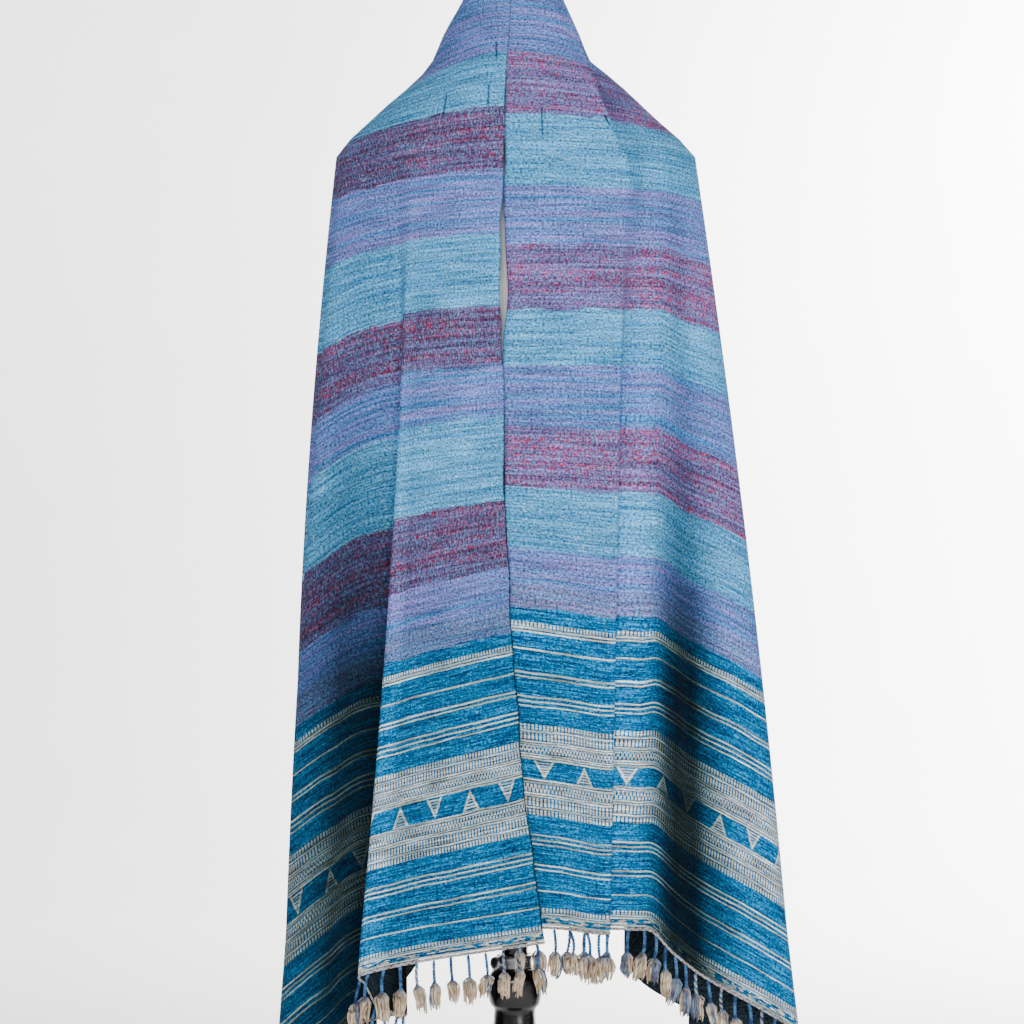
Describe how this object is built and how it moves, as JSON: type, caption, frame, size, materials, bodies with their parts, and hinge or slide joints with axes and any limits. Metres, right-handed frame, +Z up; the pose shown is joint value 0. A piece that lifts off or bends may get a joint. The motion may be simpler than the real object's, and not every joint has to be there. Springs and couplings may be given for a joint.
{
  "type": "shawl on a dress form and stand",
  "caption": "Handwoven striped shawl with tasselled ends, hung like a hood over the neck finial of a limbless dress form on a height-adjustable turned stand.",
  "frame": {"origin": "centre of the stand base's underside", "axes": "+Z up, -Y towards the front where the shawl's two selvages meet, +X to the viewer's right"},
  "size_m": [0.5647, 0.3754, 1.6327],
  "materials": {
    "shawl_cloth": "handwoven",
    "fringe": "twisted yarn",
    "jersey": "matt jersey",
    "black_wood": "black lacquer",
    "black_pole": "black",
    "steel": "brushed"
  },
  "bodies": {
    "stand": {"stand_base": "black_wood", "stand_column": "black_wood", "clamp_ring": "steel"},
    "form": {"pole": "black_pole", "form_torso": "jersey", "neck_cap": "black_wood", "shawl_cloth": "shawl_cloth", "fringe_right": "fringe", "fringe_left": "fringe"},
    "screw": {"clamp_screw": "steel"}
  },
  "joints": [
    {"name": "height_slide", "type": "slide", "parent": "stand", "child": "form", "axis": [0, 0, 1], "range_m": [-0.1, 0.12]},
    {"name": "clamp_screw_turn", "type": "hinge", "parent": "stand", "child": "screw", "pos_m": [0, 0, 0.5643], "axis": [-0.7431, -0.6691, 0], "range_deg": [0, 270]}
  ]
}
